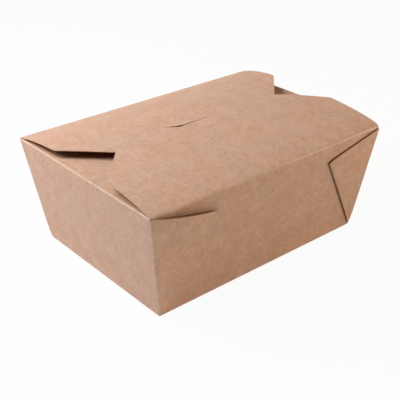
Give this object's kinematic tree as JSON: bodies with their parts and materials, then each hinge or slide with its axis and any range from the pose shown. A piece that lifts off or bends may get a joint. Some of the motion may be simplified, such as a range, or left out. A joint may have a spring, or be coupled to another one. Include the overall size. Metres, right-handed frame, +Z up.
{
  "type": "takeaway box",
  "caption": "Folded kraft board takeaway food box with walls leaning outwards, webbed corners and a tuck-locking flap lid.",
  "frame": {"origin": "centre of the base, on the surface that the box stands on", "axes": "+X along the long side, +Y from the hinged front flap to the back, +Z up"},
  "size_m": [0.2236, 0.1624, 0.0978],
  "materials": {
    "kraft_board": "unbleached brown kraft board, matt, with a fine fibre fleck and darker cut edges"
  },
  "bodies": {
    "carton": {"carton": "kraft_board"},
    "front_flap": {"front_flap": "kraft_board"}
  },
  "joints": [
    {"name": "front_flap_fold", "type": "hinge", "parent": "carton", "child": "front_flap", "pos_m": [0, -0.08, 0.087], "axis": [1, 0, 0], "range_deg": [0, 180]}
  ]
}
